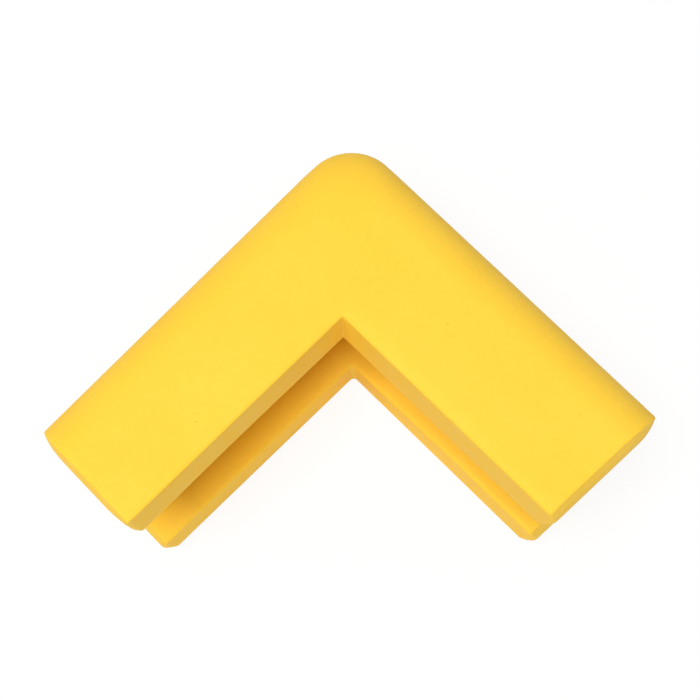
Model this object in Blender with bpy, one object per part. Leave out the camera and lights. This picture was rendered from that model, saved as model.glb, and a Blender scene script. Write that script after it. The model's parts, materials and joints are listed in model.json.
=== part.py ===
"""Furniture corner protector: one piece of moulded foam that grips the corner of a table or shelf board.

Two arms meet at a right angle. Both have the same C-shaped section: a top lip, a slot that takes the
board, a lower lip, and a back with well rounded edges that joins the lips on the outer side. The
section is carried along one arm, round the corner and along the other arm.

Lengths are in metres, +Z is up. The outer corner points to +X and +Y, and the arms run to -X and -Y.
The origin is under the middle of the part's box, on the surface that the part stands on.
"""
import math

import bmesh
import bpy

# Plan
FIRST_ARM_LENGTH = 0.0735
SECOND_ARM_LENGTH = 0.0705
ARM_WIDTH = 0.025
CORNER_RADIUS = 0.0085

# How far the outer side draws in on its way to an arm's end
FIRST_END_DRAW_IN = 0.0021
SECOND_END_DRAW_IN = 0.0010

# How far an arm's end stands out at half height, past its top and bottom edges
END_CROWN = 0.0018

# Section
TOP_LIP = 0.0105
SLOT_HEIGHT = 0.0175
LOWER_LIP = 0.0095
BACK_WALL = 0.010
BACK_ROUNDING = 0.0095

# Softened corners and edges
LIP_CORNER_RADIUS = 0.0032
EDGE_RADIUS = 0.0008

# Flat faces on each rounded stretch
BACK_STEPS = 12
CORNER_STEPS = 10
LIP_CORNER_STEPS = 5
EDGE_STEPS = 2

# Only edges sharper than this are softened, so the rounded back keeps its own facets
SHARP_EDGE = math.radians(40)
SAME_POINT = 1e-6

# Linear colour of the yellow foam skin
FOAM_YELLOW = (0.98, 0.70, 0.082, 1.0)
FOAM_ROUGHNESS = 0.62

HEIGHT = TOP_LIP + SLOT_HEIGHT + LOWER_LIP
FIRST_END = -FIRST_ARM_LENGTH / 2
SECOND_END = -SECOND_ARM_LENGTH / 2
FIRST_OUTER_SIDE = SECOND_ARM_LENGTH / 2
SECOND_OUTER_SIDE = FIRST_ARM_LENGTH / 2
FIRST_INNER_SIDE = FIRST_OUTER_SIDE - ARM_WIDTH
SECOND_INNER_SIDE = SECOND_OUTER_SIDE - ARM_WIDTH


def clear_scene():
    """Removes every object that the scene starts with."""
    for item in list(bpy.data.objects):
        bpy.data.objects.remove(item, do_unlink=True)


def foam_material():
    """Matte yellow foam skin."""
    material = bpy.data.materials.new("yellow_foam")
    material.use_nodes = True
    shader = material.node_tree.nodes["Principled BSDF"]
    shader.inputs["Base Color"].default_value = FOAM_YELLOW
    shader.inputs["Roughness"].default_value = FOAM_ROUGHNESS
    shader.inputs["Metallic"].default_value = 0.0
    material.diffuse_color = FOAM_YELLOW
    return material


def section():
    """The closed C section, as (inset from the outer side, height, plan radius at the corner, draw) points.

    The back has a quarter circle at the top and one at the bottom, with a straight side between them.
    The side and the slot's back wall have a point at half height too, where the arm ends stand out
    most. The inner side turns the corner sharply, so its points have no radius. Draw is the share of
    the drawn-in end that a point takes: all on the outer side, and less towards the inner side.
    """
    radius = min(BACK_ROUNDING, HEIGHT / 2, ARM_WIDTH - CORNER_RADIUS)
    quarter = [math.pi / 2 * step / BACK_STEPS for step in range(BACK_STEPS + 1)]
    upper = [(radius * (1 - math.sin(angle)), HEIGHT - radius * (1 - math.cos(angle))) for angle in quarter]
    lower = [(inset, HEIGHT - height) for inset, height in reversed(upper)]
    outline = upper + [(0.0, HEIGHT / 2)] + lower
    back = [(inset, height, CORNER_RADIUS, 1 - inset / ARM_WIDTH) for inset, height in outline]
    slot_floor = LOWER_LIP
    slot_ceiling = LOWER_LIP + SLOT_HEIGHT
    inner = [
        (ARM_WIDTH, 0.0),
        (ARM_WIDTH, slot_floor),
        (BACK_WALL, slot_floor),
        (BACK_WALL, HEIGHT / 2),
        (BACK_WALL, slot_ceiling),
        (ARM_WIDTH, slot_ceiling),
        (ARM_WIDTH, HEIGHT),
    ]
    return back + [(inset, height, 0.0, 0.0) for inset, height in inner]


def run_of_point(inset, height, radius, draw):
    """Where one point of the section goes: along the first arm, round the corner, along the second.

    The corner is a quarter circle between the two straight runs. Both ends fall back from half height
    with the square of the distance from it.
    """
    fall = END_CROWN * (2 * height / HEIGHT - 1) ** 2
    run = [(FIRST_END + fall, FIRST_OUTER_SIDE - inset - draw * FIRST_END_DRAW_IN, height)]
    centre_x = SECOND_OUTER_SIDE - inset - radius
    centre_y = FIRST_OUTER_SIDE - inset - radius
    for step in range(CORNER_STEPS + 1):
        angle = math.pi / 2 * (1 - step / CORNER_STEPS)
        run.append((centre_x + radius * math.cos(angle), centre_y + radius * math.sin(angle), height))
    run.append((SECOND_OUTER_SIDE - inset - draw * SECOND_END_DRAW_IN, SECOND_END + fall, height))
    return run


def sweep_section(mesh):
    """Skins the swept section with four-sided faces and closes both arm ends."""
    runs = [[mesh.verts.new(place) for place in run_of_point(*point)] for point in section()]
    stations = len(runs[0])
    for index, run in enumerate(runs):
        following = runs[(index + 1) % len(runs)]
        for near in range(stations - 1):
            mesh.faces.new((run[near], run[near + 1], following[near + 1], following[near]))
    mesh.faces.new([run[0] for run in runs])
    mesh.faces.new([run[-1] for run in reversed(runs)])
    bmesh.ops.remove_doubles(mesh, verts=mesh.verts, dist=SAME_POINT)
    bmesh.ops.recalc_face_normals(mesh, faces=mesh.faces)


def round_lower_lip_corners(mesh):
    """Rounds the two free corners of the lower lip, seen from above."""
    upright = []
    for edge in mesh.edges:
        top = max(end.co.z for end in edge.verts)
        on_first = all(abs(end.co.y - FIRST_INNER_SIDE) < SAME_POINT for end in edge.verts)
        on_second = all(abs(end.co.x - SECOND_INNER_SIDE) < SAME_POINT for end in edge.verts)
        at_first_end = all(end.co.x < FIRST_END + END_CROWN + SAME_POINT for end in edge.verts)
        at_second_end = all(end.co.y < SECOND_END + END_CROWN + SAME_POINT for end in edge.verts)
        if top < LOWER_LIP + SAME_POINT and (on_first and at_first_end or on_second and at_second_end):
            upright.append(edge)
    bmesh.ops.bevel(
        mesh,
        geom=upright,
        offset=LIP_CORNER_RADIUS,
        offset_type="OFFSET",
        segments=LIP_CORNER_STEPS,
        profile=0.5,
        affect="EDGES",
    )


def make_corner_protector():
    """The whole part, as one closed solid."""
    mesh = bmesh.new()
    sweep_section(mesh)
    round_lower_lip_corners(mesh)
    data = bpy.data.meshes.new("corner_protector")
    mesh.to_mesh(data)
    mesh.free()
    data.materials.append(foam_material())
    data.shade_smooth()
    data.set_sharp_from_angle(angle=SHARP_EDGE)
    protector = bpy.data.objects.new("corner_protector", data)
    bpy.context.scene.collection.objects.link(protector)
    soften = protector.modifiers.new("softened_edges", "BEVEL")
    soften.width = EDGE_RADIUS
    soften.segments = EDGE_STEPS
    soften.limit_method = "ANGLE"
    soften.angle_limit = SHARP_EDGE
    return protector


clear_scene()
make_corner_protector()
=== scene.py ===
"""Looks of the furniture corner protector: a yellow moulded foam skin on a plain white floor.

Lengths are in metres. Each arm has a reach and an inset: the reach runs along the arm from the sharp
corner that the two straight outer sides would make, and the inset runs inwards from the outer side.
What is the reach of one arm is the inset of the other.
"""
import json
import math

import bpy
import numpy as np
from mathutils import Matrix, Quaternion, Vector


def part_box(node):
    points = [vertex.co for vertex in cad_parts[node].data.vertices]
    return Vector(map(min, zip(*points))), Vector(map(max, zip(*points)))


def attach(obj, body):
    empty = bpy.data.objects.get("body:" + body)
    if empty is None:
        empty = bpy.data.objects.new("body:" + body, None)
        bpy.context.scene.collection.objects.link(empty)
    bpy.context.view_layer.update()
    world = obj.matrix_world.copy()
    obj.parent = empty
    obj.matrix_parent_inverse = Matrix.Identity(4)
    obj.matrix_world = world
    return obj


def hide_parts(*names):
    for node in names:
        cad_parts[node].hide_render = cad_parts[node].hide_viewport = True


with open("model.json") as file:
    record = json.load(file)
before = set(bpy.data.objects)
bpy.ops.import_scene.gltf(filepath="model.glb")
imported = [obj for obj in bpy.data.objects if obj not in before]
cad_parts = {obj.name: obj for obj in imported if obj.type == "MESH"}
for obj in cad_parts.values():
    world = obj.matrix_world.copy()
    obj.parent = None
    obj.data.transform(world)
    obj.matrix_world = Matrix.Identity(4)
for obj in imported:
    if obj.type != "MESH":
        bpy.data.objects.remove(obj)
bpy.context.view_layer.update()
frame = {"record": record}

NODE = "corner_protector"


def mount_place(name):
    """Where the record puts a mounting face."""
    return next(mount["pos_m"] for mount in frame["record"]["mounts"] if mount["name"] == name)


# Sizes read from the frame
BOX_LOW, BOX_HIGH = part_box(NODE)
ARM_LENGTHS = (BOX_HIGH.x - BOX_LOW.x, BOX_HIGH.y - BOX_LOW.y)
HEIGHT = BOX_HIGH.z - BOX_LOW.z
SLOT_FLOOR = mount_place("slot_floor")[2]
SLOT_CEILING = mount_place("slot_ceiling")[2]
BACK_WALL = BOX_HIGH.y - mount_place("slot_back_first_arm")[1]

# Section of the moulding
ARM_WIDTH = 0.025
BACK_ROUNDING = 0.0095
SLOT_FILLET = 0.0012

# Rounded edges of the lips: how far each reaches into the lip's face, and down the lip's tip
TOP_ROLL = (0.0026, 0.0005)
UNDER_EDGE = (0.0006, 0.0006)
CEILING_EDGE = (0.0002, 0.0002)
FLOOR_EDGE = (0.0007, 0.0006)

# Radii of the corner, seen from above
OUTER_CORNER = 0.0085
TOP_INNER_CORNER = 0.0002
LOWER_INNER_CORNER = 0.0009
SLOT_CORNER = 0.0020

# Radii of the free corners of the lips, seen from above: in the top lip's middle, in the lower lip's
# lower third, and at the lips' other edges. The lower lip's radius eases in over the rest of its height.
TOP_FREE_CORNER = 0.0012
LOWER_FREE_CORNER = 0.0016
EDGE_FREE_CORNER = 0.0006
LOWER_EASE_SHARE = 2 / 3

# Arm ends: how far they swell (first arm, second arm), how deep in the section the swelling is full, which
# share of its fall is missing at the outer side, and their rounded edge's reach along the arm and inwards
END_SWELL = (0.0010, 0.0013)
SWELL_DEPTH = 0.00525
SWELL_LESS = 0.2
END_ROUND_ALONG = 0.0006
END_ROUND_IN = 0.0004

# How the soft moulding departs from its plain form, for the first and the second arm: the end's place, how
# much shorter it gets from the outer side inwards, how much shorter the lower lip is, the fall of the end's
# middle next to the top lip's tip, the outer side's move inwards from DRAW_START to the end, and the
# sideways move of the lower lip's tip
END_SHIFT = (-0.0004, 0.0009)
END_SKEW = (0.0002, 0.0012)
LOWER_LIP_SHORT = (0.0005, 0.0)
TOP_TIP_FALL = (0.0007, 0.0)
TIP_FALL_REACH = 0.006
OUTER_DRAW_IN = (0.00245, 0.0010)
DRAW_START = 0.012
LOWER_SIDE = (0.0002, 0.0004)

# Sideways move of the top lip's tip at its upper and its lower edge, each at the corner and at the arm's
# end: first arm, second arm
TOP_SIDE = ((-0.0005, -0.0001), (0.0009, 0.0010))
CEILING_SIDE = ((-0.0006, 0.0), (0.0012, 0.0010))

# Rise of the slot's ceiling and floor: along the first arm, at the corner, along the second arm. Each
# arm's own rise is reached BLEND_REACH away from the corner.
CEILING_LIFT = (0.0003, -0.0009, -0.0012)
FLOOR_LIFT = (-0.0007, -0.0007, 0.0010)
BLEND_REACH = 0.030

# Steps along each stretch of the section and of the path
EDGE_STEPS = 6
LIP_STEPS = 24
BACK_STEPS = 52
SIDE_STEPS = 16
ACROSS_STEPS = 14
ARM_STEPS = 60
CORNER_STEPS = 16
END_STEPS = 6

# Camera: its place and its aim from the sharp outer corner on the floor
LENS_MM = 57.718
OUTER_POINT = Vector((BOX_HIGH.x, BOX_HIGH.y, 0.0))
CAMERA_PLACE = OUTER_POINT + Vector((-0.060522, -0.067731, 0.206005))
CAMERA_AIM = OUTER_POINT + Vector((-0.025574, -0.025080, 0.018750))
CAMERA_ROLL = math.radians(5.553)

# Foam skin: the two linear yellows of the blotches, what the mottle and the specks multiply them by where
# they are darkest, and the range of the roughness
YELLOWS = ((0.970, 0.598, 0.048, 1), (0.988, 0.618, 0.056, 1))
MOTTLE_DARK = (0.97, 0.97, 0.95, 1)
SPECK_DARK = (0.80, 0.72, 0.60, 1)
UNCHANGED = (1, 1, 1, 1)
ROUGHNESS_RANGE = (0.52, 0.64)
SPECULAR_LEVEL = 0.1

# How fine the skin's patterns are, and how deep and strong its dimples are
BLOTCH_SCALE = 60.0
MOTTLE_SCALE = 1400.0
SPECK_SCALE = 150.0
ROUGHNESS_SCALE = 300.0
DIMPLE_SCALE = 1800.0
SOFT_DETAIL = 2.0
FINE_DETAIL = 3.0
DIMPLE_DEPTH = 0.0001
DIMPLE_STRENGTH = 0.10

# Between which values of a pattern its two colours blend. A speck's are distances from a cell's middle.
BROAD_BLEND = (0.3, 0.7)
MOTTLE_BLEND = (0.35, 0.65)
SPECK_BLEND = (0.014, 0.030)

# Studio: the lights' place, size and power in watts, the sky's strength, and the floor's half width, its
# grey value, its roughness and how much of it glows white where it is seen
SOFT_BOX = ((-0.22, 0.03, 0.95), 0.50, 8.5)
SOFT_FILL = ((-0.05, -0.70, 0.14), 0.30, 0.30)
SKY_STRENGTH = 0.32
FLOOR_HALF = 1.5
FLOOR_WHITE = 0.92
FLOOR_ROUGHNESS = 0.9
FLOOR_GLOW = 0.85
WHITE = (1, 1, 1, 1)


def ease(x):
    """Smooth step: three x squared less two x cubed, held at 0 below 0 and at 1 above 1."""
    x = np.clip(x, 0.0, 1.0)
    return x * x * (3 - 2 * x)


def ellipse(centre, radii, start, stop, steps):
    """Points at steps + 1 even angles, in degrees, of centre plus radii times (cosine, sine)."""
    angle = np.radians(np.linspace(start, stop, steps + 1))
    return np.stack([centre[0] + radii[0] * np.cos(angle), centre[1] + radii[1] * np.sin(angle)], -1)


def lip_line(tip, root, height):
    """A straight run from tip to root inset, with steps that grow as one less a cosine."""
    grow = 1 - np.cos(np.linspace(0, math.pi / 2, LIP_STEPS + 1)[1:])
    return np.stack([tip + (root - tip) * grow, np.full(LIP_STEPS, height)], -1)


def with_radius(chain, root, root_radius, top_radius, lower_radius):
    """Adds the plan radius at the corner: root_radius up to the root inset, then evenly to the tip's."""
    share = np.clip((chain[:, 0] - root) / (ARM_WIDTH - root), 0, 1)
    tip_radius = np.where(chain[:, 1] > HEIGHT / 2, top_radius, lower_radius)
    radius = root_radius + (tip_radius - root_radius) * share
    return np.column_stack([chain, radius])


def outer_chain():
    """From the top lip's tip over the flat top, down the back, and under to the lower lip's tip.

    The back is a quarter ellipse, a straight side and another quarter ellipse. Points are
    (inset, height, plan radius at the corner).
    """
    top_centre = ARM_WIDTH - TOP_ROLL[0]
    under_centre = ARM_WIDTH - UNDER_EDGE[0]
    rounding = (BACK_ROUNDING, BACK_ROUNDING)
    quarter = (BACK_STEPS - SIDE_STEPS) // 2
    top_roll = ellipse((top_centre, HEIGHT - TOP_ROLL[1]), TOP_ROLL, 0, 90, EDGE_STEPS)
    top = lip_line(top_centre, BACK_ROUNDING, HEIGHT)
    shoulder = ellipse((BACK_ROUNDING, HEIGHT - BACK_ROUNDING), rounding, 90, 180, quarter)[1:]
    side_height = np.linspace(HEIGHT - BACK_ROUNDING, BACK_ROUNDING, SIDE_STEPS + 1)[1:]
    side = np.stack([np.zeros(SIDE_STEPS), side_height], -1)
    hip = ellipse((BACK_ROUNDING, BACK_ROUNDING), rounding, 180, 270, quarter)[1:]
    under = lip_line(under_centre, BACK_ROUNDING, 0.0)[-2::-1]
    under_edge = ellipse((under_centre, UNDER_EDGE[1]), UNDER_EDGE, 270, 360, EDGE_STEPS)
    chain = np.concatenate([top_roll, top, shoulder, side, hip, under, under_edge])
    return with_radius(chain, BACK_ROUNDING, OUTER_CORNER, TOP_INNER_CORNER, LOWER_INNER_CORNER)


def inner_chain():
    """From the top lip's tip along the slot's ceiling, down its back wall, and out along its floor.

    It has as many points as the outer chain, stretch by stretch.
    """
    root = BACK_WALL + SLOT_FILLET
    fillet = (SLOT_FILLET, SLOT_FILLET)
    ceiling_centre = ARM_WIDTH - CEILING_EDGE[0]
    floor_centre = ARM_WIDTH - FLOOR_EDGE[0]
    edge_centre = (ceiling_centre, SLOT_CEILING + CEILING_EDGE[1])
    ceiling_edge = ellipse(edge_centre, CEILING_EDGE, 360, 270, EDGE_STEPS)
    ceiling = lip_line(ceiling_centre, root, SLOT_CEILING)
    upper_fillet = ellipse((root, SLOT_CEILING - SLOT_FILLET), fillet, 90, 180, EDGE_STEPS)[1:]
    lower_fillet = ellipse((root, SLOT_FLOOR + SLOT_FILLET), fillet, 180, 270, EDGE_STEPS)
    drop = np.linspace(upper_fillet[-1, 1], lower_fillet[0, 1], BACK_STEPS - 2 * EDGE_STEPS + 1)[1:-1]
    wall = np.stack([np.full_like(drop, BACK_WALL), drop], -1)
    floor = lip_line(floor_centre, root, SLOT_FLOOR)[-2::-1]
    floor_edge = ellipse((floor_centre, SLOT_FLOOR - FLOOR_EDGE[1]), FLOOR_EDGE, 90, 0, EDGE_STEPS)
    chain = np.concatenate([ceiling_edge, ceiling, upper_fillet, wall, lower_fillet, floor, floor_edge])
    return with_radius(chain, BACK_WALL, SLOT_CORNER, TOP_INNER_CORNER, LOWER_INNER_CORNER)


def section_grid():
    """The solid section as a grid: evenly from each outer chain point to the inner chain's own.

    Columns are inset, height, plan radius, and 0 to 1 from the outer to the inner chain.
    """
    outer = outer_chain()
    inner = inner_chain()
    across = np.linspace(0, 1, ACROSS_STEPS + 1)[None, :, None]
    grid = outer[:, None] * (1 - across) + inner[:, None] * across
    return np.concatenate([grid, np.broadcast_to(across, grid.shape[:2] + (1,))], -1)


def boundary(grid):
    """The closed edge of a grid, once round: outer chain, lower tip, inner chain backwards, top tip."""
    return np.concatenate([grid[:, 0], grid[-1, 1:-1], grid[::-1, -1], grid[0, -2:0:-1]])


def inward(ring):
    """Unit normals into the section: the step from the point before to the point after, turned left."""
    step = np.roll(ring[:, :2], -1, 0) - np.roll(ring[:, :2], 1, 0)
    step /= np.linalg.norm(step, axis=1, keepdims=True)
    return np.stack([-step[:, 1], step[:, 0]], -1)


def arm_inset(section, arm, along=0.0):
    """The inset on one arm: the plain inset, and the lips' tips moved sideways in proportion.

    Along is 0 at the corner and 1 at the arm's end.
    """
    inset, height = section[..., 0], section[..., 1]
    top = TOP_SIDE[arm][0] + (TOP_SIDE[arm][1] - TOP_SIDE[arm][0]) * along
    ceiling = CEILING_SIDE[arm][0] + (CEILING_SIDE[arm][1] - CEILING_SIDE[arm][0]) * along
    down = np.clip((HEIGHT - height) / (HEIGHT - SLOT_CEILING), 0, 1)
    side = np.where(height > HEIGHT / 2, top + (ceiling - top) * down, LOWER_SIDE[arm])
    return inset + side * np.clip((inset - BACK_WALL) / (ARM_WIDTH - BACK_WALL), 0, 1)


def depth_share(section):
    """How deep each point lies in the section, from 0 at its outline to 1 at SWELL_DEPTH and beyond.

    The depth is the distance from the outer side, which is straight between two quarter circles, or
    from the slot, which is a rectangle: the smaller of the two. The lips' tips don't count.
    """
    inset, height = section[..., 0], section[..., 1]
    beside = np.clip(BACK_ROUNDING - inset, 0, None)
    above = np.clip(np.abs(height - HEIGHT / 2) - (HEIGHT / 2 - BACK_ROUNDING), 0, None)
    from_outside = BACK_ROUNDING - np.hypot(beside, above)
    behind = np.clip(BACK_WALL - inset, 0, None)
    beyond = np.clip(np.maximum(SLOT_FLOOR - height, height - SLOT_CEILING), 0, None)
    from_slot = np.hypot(behind, beyond)
    return np.clip(np.minimum(from_outside, from_slot) / SWELL_DEPTH, 0, 1)


def free_corner(section):
    """Radius of a lip's free corner at each point, and how far the point lies past the corner's start.

    The radius is small at the edges. In the top lip it grows with the depth in the section, and in the
    lower lip it eases in from the slot's floor downwards.
    """
    height = section[..., 1]
    down = ease((1 - height / SLOT_FLOOR) / LOWER_EASE_SHARE)
    upper = height > HEIGHT / 2
    share = np.where(upper, depth_share(section), down)
    middle = np.where(upper, TOP_FREE_CORNER, LOWER_FREE_CORNER)
    radius = EDGE_FREE_CORNER + (middle - EDGE_FREE_CORNER) * share
    return radius, np.clip(section[..., 0] - (ARM_WIDTH - radius), 0, radius)


def end_reach(section, arm):
    """Where an arm ends: its length and shift, less five falls.

    The swelling falls with the square of what is missing from its full depth, the skew evenly from the
    outer side inwards, the lower lip evenly over the height of the slot, and the free corner of each
    lip as a quarter circle. Towards the top lip's tip its middle falls with the square of the nearness.
    """
    inset, height = section[..., 0], section[..., 1]
    share = depth_share(section)
    less = SWELL_LESS * np.clip(1 - inset / BACK_ROUNDING, 0, 1)
    swell = END_SWELL[arm] * (1 - share) ** 2 * (1 - less)
    skew = END_SKEW[arm] * inset / ARM_WIDTH
    lower = LOWER_LIP_SHORT[arm] * np.clip((SLOT_CEILING - height) / (SLOT_CEILING - SLOT_FLOOR), 0, 1)
    radius, past = free_corner(section)
    near_tip = np.clip(1 - (ARM_WIDTH - inset) / TIP_FALL_REACH, 0, 1)
    tip_fall = np.where(height > HEIGHT / 2, TOP_TIP_FALL[arm] * share * near_tip ** 2, 0)
    corner = radius - np.sqrt(radius ** 2 - past ** 2)
    return ARM_LENGTHS[arm] + END_SHIFT[arm] - swell - skew - lower - corner - tip_fall


def drawn_in(section):
    """How far the end's rounded edge moves into the section: all of it, down to none at a lip's tip."""
    radius, past = free_corner(section)
    return END_ROUND_IN * (1 - past / radius)


def placed(section, reach, inset, arm):
    """Points (x, y, z) from the reach and inset on one arm, with the moulding's own departures.

    The back draws in evenly towards the arm's end, most at its outer side. The slot's ceiling and
    floor rise or fall by the arm's own lift, which eases in from the corner's lift over BLEND_REACH.
    What lies between them takes its share of both, and the outside takes none.
    """
    height, hollow = section[..., 1], section[..., 3]
    drawn = np.clip((reach - DRAW_START) / (ARM_LENGTHS[arm] - DRAW_START), 0, 1)
    share = (1 - section[..., 0] / ARM_WIDTH) * (1 - hollow)
    inset_there = inset + OUTER_DRAW_IN[arm] * drawn * share
    levels = (0, SLOT_FLOOR, SLOT_CEILING, HEIGHT)
    out = ease((reach - inset) / BLEND_REACH)
    own = 2 * arm
    ceiling = CEILING_LIFT[1] + (CEILING_LIFT[own] - CEILING_LIFT[1]) * out
    floor = FLOOR_LIFT[1] + (FLOOR_LIFT[own] - FLOOR_LIFT[1]) * out
    ceiling_share = np.interp(height, levels, (0, 0, 1, 0))
    floor_share = np.interp(height, levels, (0, 1, 0, 0))
    lift = ceiling * ceiling_share + floor * floor_share
    plan = (reach, inset_there) if arm == 0 else (inset_there, reach)
    return np.stack([BOX_HIGH.x - plan[0], BOX_HIGH.y - plan[1], height + hollow * lift], -1)


def arm_stations(ring, arm):
    """Rings from an arm's end face to the corner: a quarter ellipse at the end, then even steps."""
    other = 1 - arm
    turn = np.radians(np.linspace(90, 0, END_STEPS + 1))[:, None]
    normal = inward(ring)
    rounded = np.repeat(ring[None], END_STEPS + 1, 0)
    rounded[..., :2] += (drawn_in(ring) * (1 - np.cos(turn)))[..., None] * normal
    reach = end_reach(ring, arm) - END_ROUND_ALONG * (1 - np.sin(turn))
    end = placed(rounded, reach, arm_inset(rounded, arm, 1.0), arm)
    start = end_reach(ring, arm) - END_ROUND_ALONG
    stop = arm_inset(ring, other) + ring[:, 2]
    along = np.linspace(0, 1, ARM_STEPS + 1)[1:, None]
    reach = start + (stop - start) * along
    straight = np.broadcast_to(ring, (ARM_STEPS,) + ring.shape)
    run = placed(straight, reach, arm_inset(straight, arm, 1 - along), arm)
    return np.concatenate([end, run])


def corner_stations(ring):
    """Rings round the corner: each ring point follows a quarter circle that touches both straight runs."""
    turn = np.radians(np.linspace(0, 90, CORNER_STEPS + 1)[1:-1])[:, None]
    radius = ring[:, 2]
    along_first = arm_inset(ring, 1) + radius * (1 - np.sin(turn))
    along_second = arm_inset(ring, 0) + radius * (1 - np.cos(turn))
    section = np.broadcast_to(ring, (len(turn),) + ring.shape)
    first = placed(section, along_first, along_second, 0)
    second = placed(section, along_second, along_first, 1)
    return np.where((along_first > along_second)[..., None], first, second)


def end_cap(grid, arm):
    """The end face: the section grid at the arm's end.

    Its edge is drawn in as the end's rounding leaves it, and each point between the outer and the inner
    chain moves by its share of both chains' moves.
    """
    cap = grid.copy()
    edge = boundary(grid)
    ring_normal = inward(edge) * drawn_in(edge)[:, None]
    count = len(grid)
    outer_normal = ring_normal[:count]
    inner_normal = ring_normal[count + ACROSS_STEPS - 1:2 * count + ACROSS_STEPS - 1][::-1]
    across = np.linspace(0, 1, ACROSS_STEPS + 1)[None, :, None]
    cap[..., :2] += outer_normal[:, None] * (1 - across) + inner_normal[:, None] * across
    return placed(cap, end_reach(grid, arm), arm_inset(cap, arm, 1.0), arm)


def quads(rows):
    """Four-sided faces between neighbours of a grid of vertex numbers, all turning the same way."""
    return np.stack([rows[:-1, :-1], rows[1:, :-1], rows[1:, 1:], rows[:-1, 1:]], -1).reshape(-1, 4)


def corner_protector():
    """The whole moulding: the section carried along both arms and round the corner, with end faces."""
    grid = section_grid()
    ring = boundary(grid)
    stations = np.concatenate([arm_stations(ring, 0), corner_stations(ring), arm_stations(ring, 1)[::-1]])
    count, around = stations.shape[:2]
    numbers = np.arange(count * around).reshape(count, around)
    faces = [quads(np.column_stack([numbers, numbers[:, :1]]))]
    points = [stations.reshape(-1, 3)]
    following = count * around
    for arm, edge in ((0, numbers[0]), (1, numbers[-1])):
        cap = end_cap(grid, arm)
        rows, columns = cap.shape[:2]
        cap_numbers = following + np.arange(rows * columns).reshape(rows, columns)
        cap_numbers[:, 0] = edge[:rows]
        cap_numbers[-1, 1:-1] = edge[rows:rows + columns - 2]
        cap_numbers[::-1, -1] = edge[rows + columns - 2:2 * rows + columns - 2]
        cap_numbers[0, -2:0:-1] = edge[2 * rows + columns - 2:]
        points.append(cap.reshape(-1, 3))
        following += rows * columns
        facing = quads(cap_numbers)
        faces.append(facing if arm == 0 else facing[:, ::-1])
    return mesh_object("foam_corner_protector", np.concatenate(points), np.concatenate(faces))


def mesh_object(name, points, faces):
    """A smooth shaded object from points and four-sided faces, without the points that no face uses."""
    used, faces = np.unique(faces, return_inverse=True)
    faces = faces.reshape(-1, 4)
    mesh = bpy.data.meshes.new(name)
    mesh.from_pydata(points[used].tolist(), [], faces.tolist())
    mesh.shade_smooth()
    mesh.validate()
    piece = bpy.data.objects.new(name, mesh)
    bpy.context.scene.collection.objects.link(piece)
    return piece


def foam_skin():
    """Matte yellow foam skin: soft blotches, a fine mottle, a few tiny dark specks and fine dimples.

    Its roughness varies a little too.
    """
    material = bpy.data.materials.new("yellow_foam_skin")
    material.use_nodes = True
    nodes = material.node_tree.nodes
    links = material.node_tree.links
    shader = nodes["Principled BSDF"]
    place = nodes.new("ShaderNodeTexCoord")

    def noise(scale, detail):
        texture = nodes.new("ShaderNodeTexNoise")
        texture.inputs["Scale"].default_value = scale
        texture.inputs["Detail"].default_value = detail
        links.new(place.outputs["Object"], texture.inputs["Vector"])
        return texture.outputs["Fac"]

    def ramp(value, blend, first, second):
        colours = nodes.new("ShaderNodeValToRGB")
        for stop, position, colour in zip(colours.color_ramp.elements, blend, (first, second)):
            stop.position = position
            stop.color = colour
        links.new(value, colours.inputs["Fac"])
        return colours.outputs["Color"]

    blotches = ramp(noise(BLOTCH_SCALE, SOFT_DETAIL), BROAD_BLEND, *YELLOWS)
    mottle = ramp(noise(MOTTLE_SCALE, FINE_DETAIL), MOTTLE_BLEND, MOTTLE_DARK, UNCHANGED)
    cells = nodes.new("ShaderNodeTexVoronoi")
    cells.inputs["Scale"].default_value = SPECK_SCALE
    links.new(place.outputs["Object"], cells.inputs["Vector"])
    specks = ramp(cells.outputs["Distance"], SPECK_BLEND, SPECK_DARK, UNCHANGED)

    def multiplied(first, second):
        mixed = nodes.new("ShaderNodeMix")
        mixed.data_type = "RGBA"
        mixed.blend_type = "MULTIPLY"
        mixed.inputs["Factor"].default_value = 1.0
        links.new(first, mixed.inputs["A"])
        links.new(second, mixed.inputs["B"])
        return mixed.outputs["Result"]

    links.new(multiplied(multiplied(blotches, mottle), specks), shader.inputs["Base Color"])
    bump = nodes.new("ShaderNodeBump")
    bump.inputs["Strength"].default_value = DIMPLE_STRENGTH
    bump.inputs["Distance"].default_value = DIMPLE_DEPTH
    links.new(noise(DIMPLE_SCALE, SOFT_DETAIL), bump.inputs["Height"])
    links.new(bump.outputs["Normal"], shader.inputs["Normal"])
    smooth, rough = [(value, value, value, 1) for value in ROUGHNESS_RANGE]
    roughness = ramp(noise(ROUGHNESS_SCALE, FINE_DETAIL), BROAD_BLEND, smooth, rough)
    links.new(roughness, shader.inputs["Roughness"])
    shader.inputs["Specular IOR Level"].default_value = SPECULAR_LEVEL
    return material


def seen_directly(tree):
    """1 for rays that show a thing itself (camera, glossy, transmission), 0 for those that light others."""
    path = tree.nodes.new("ShaderNodeLightPath")
    seen = path.outputs["Is Camera Ray"]
    for name in ("Is Glossy Ray", "Is Transmission Ray"):
        larger = tree.nodes.new("ShaderNodeMath")
        larger.operation = "MAXIMUM"
        tree.links.new(seen, larger.inputs[0])
        tree.links.new(path.outputs[name], larger.inputs[1])
        seen = larger.outputs[0]
    return seen


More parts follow.
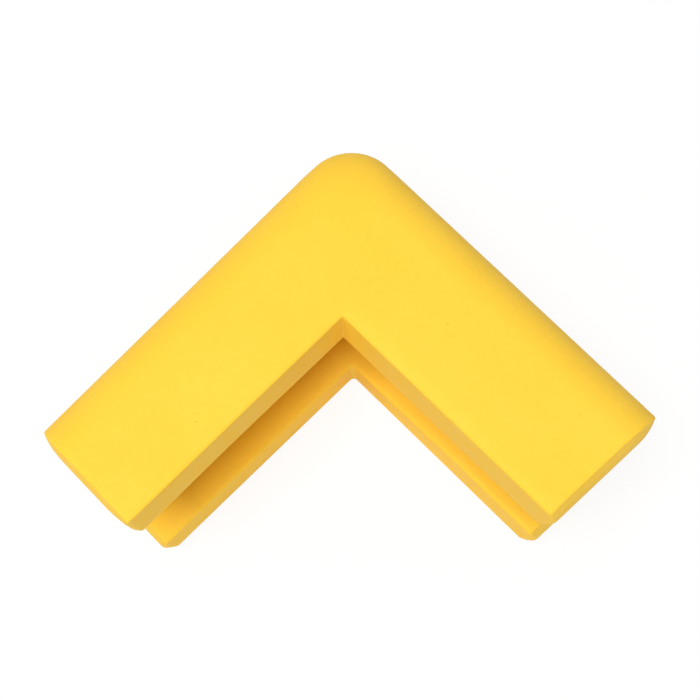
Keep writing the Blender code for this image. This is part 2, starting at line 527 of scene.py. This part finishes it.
def white_floor():
    """A plain white floor, well past the view on all sides."""
    half = FLOOR_HALF
    corners = [(-half, -half, 0), (half, -half, 0), (half, half, 0), (-half, half, 0)]
    mesh = bpy.data.meshes.new("floor")
    mesh.from_pydata(corners, [], [(0, 1, 2, 3)])
    floor = bpy.data.objects.new("floor", mesh)
    bpy.context.scene.collection.objects.link(floor)
    material = bpy.data.materials.new("white_floor")
    material.use_nodes = True
    nodes = material.node_tree.nodes
    links = material.node_tree.links
    shader = nodes["Principled BSDF"]
    shader.inputs["Base Color"].default_value = (FLOOR_WHITE, FLOOR_WHITE, FLOOR_WHITE, 1)
    shader.inputs["Roughness"].default_value = FLOOR_ROUGHNESS
    shader.inputs["Specular IOR Level"].default_value = 0.0
    white = nodes.new("ShaderNodeEmission")
    white.inputs["Strength"].default_value = 1.0
    mixed = nodes.new("ShaderNodeMixShader")
    share = nodes.new("ShaderNodeMath")
    share.operation = "MULTIPLY"
    links.new(seen_directly(material.node_tree), share.inputs[0])
    share.inputs[1].default_value = FLOOR_GLOW
    links.new(share.outputs[0], mixed.inputs[0])
    links.new(shader.outputs[0], mixed.inputs[1])
    links.new(white.outputs[0], mixed.inputs[2])
    links.new(mixed.outputs[0], nodes["Material Output"].inputs["Surface"])
    mesh.materials.append(material)


def soft_light(name, place, size, power):
    """A square soft box at place, turned to the middle of the part."""
    light = bpy.data.lights.new(name, "AREA")
    light.shape = "SQUARE"
    light.size = size
    light.energy = power
    lamp = bpy.data.objects.new(name, light)
    lamp.location = place
    lamp.rotation_euler = (CAMERA_AIM - Vector(place)).to_track_quat("-Z", "Y").to_euler()
    bpy.context.scene.collection.objects.link(lamp)


def studio():
    """White surroundings, a soft box above on the camera's left, and a weak low one in front."""
    world = bpy.data.worlds.new("studio")
    world.use_nodes = True
    nodes = world.node_tree.nodes
    links = world.node_tree.links
    lighting = nodes["Background"]
    lighting.inputs["Color"].default_value = WHITE
    lighting.inputs["Strength"].default_value = SKY_STRENGTH
    backdrop = nodes.new("ShaderNodeBackground")
    backdrop.inputs["Color"].default_value = WHITE
    backdrop.inputs["Strength"].default_value = 1.0
    mixed = nodes.new("ShaderNodeMixShader")
    links.new(seen_directly(world.node_tree), mixed.inputs[0])
    links.new(lighting.outputs[0], mixed.inputs[1])
    links.new(backdrop.outputs[0], mixed.inputs[2])
    links.new(mixed.outputs[0], nodes["World Output"].inputs["Surface"])
    bpy.context.scene.world = world
    soft_light("soft_box", *SOFT_BOX)
    soft_light("soft_fill", *SOFT_FILL)


def camera():
    """The photograph's view of the part."""
    data = bpy.data.cameras.new("camera")
    data.lens = LENS_MM
    data.clip_start = 0.01
    item = bpy.data.objects.new("camera", data)
    item.location = CAMERA_PLACE
    turn = (CAMERA_AIM - CAMERA_PLACE).to_track_quat("-Z", "Y")
    item.rotation_mode = "QUATERNION"
    item.rotation_quaternion = turn @ Quaternion((0, 0, 1), -CAMERA_ROLL)
    bpy.context.scene.collection.objects.link(item)
    bpy.context.scene.camera = item


camera()
studio()
white_floor()

protector = corner_protector()
protector.data.materials.append(foam_skin())
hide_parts(NODE)
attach(protector, "root")

bpy.context.scene.view_settings.view_transform = "Standard"
